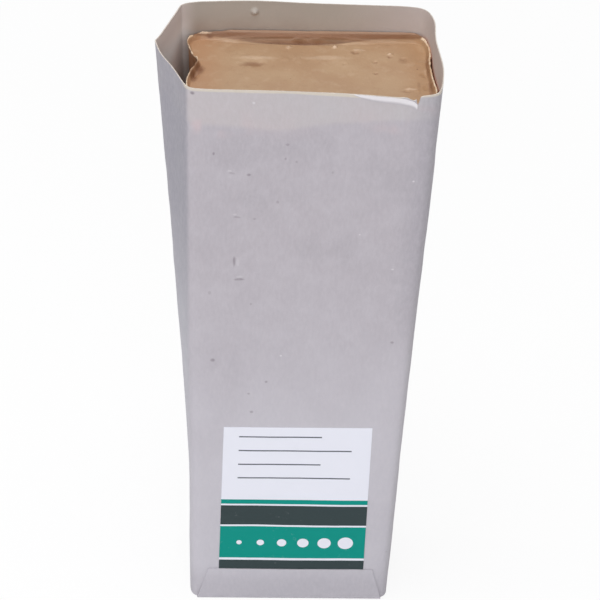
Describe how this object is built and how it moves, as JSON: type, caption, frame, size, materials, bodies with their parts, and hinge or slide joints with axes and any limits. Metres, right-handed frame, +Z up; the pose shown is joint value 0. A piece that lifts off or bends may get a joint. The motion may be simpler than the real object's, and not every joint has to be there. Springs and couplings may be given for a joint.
{
  "type": "buffing compound bar",
  "caption": "Cast bar of tan buffing compound in a gusseted paper sleeve, open at the top, with a glued label low on the front.",
  "frame": {"origin": "centre of the foot, the flat underside that the bar stands on", "axes": "+Z up along the bar, -Y towards the labelled front, +X to the right seen from the front"},
  "size_m": [0.0798, 0.0462, 0.1864],
  "materials": {
    "compound": "satin",
    "sleeve_paper": "matte",
    "label_paper": "satin"
  },
  "bodies": {
    "root": {"compound_bar": "compound", "paper_sleeve": "sleeve_paper", "label": "label_paper"}
  },
  "joints": []
}
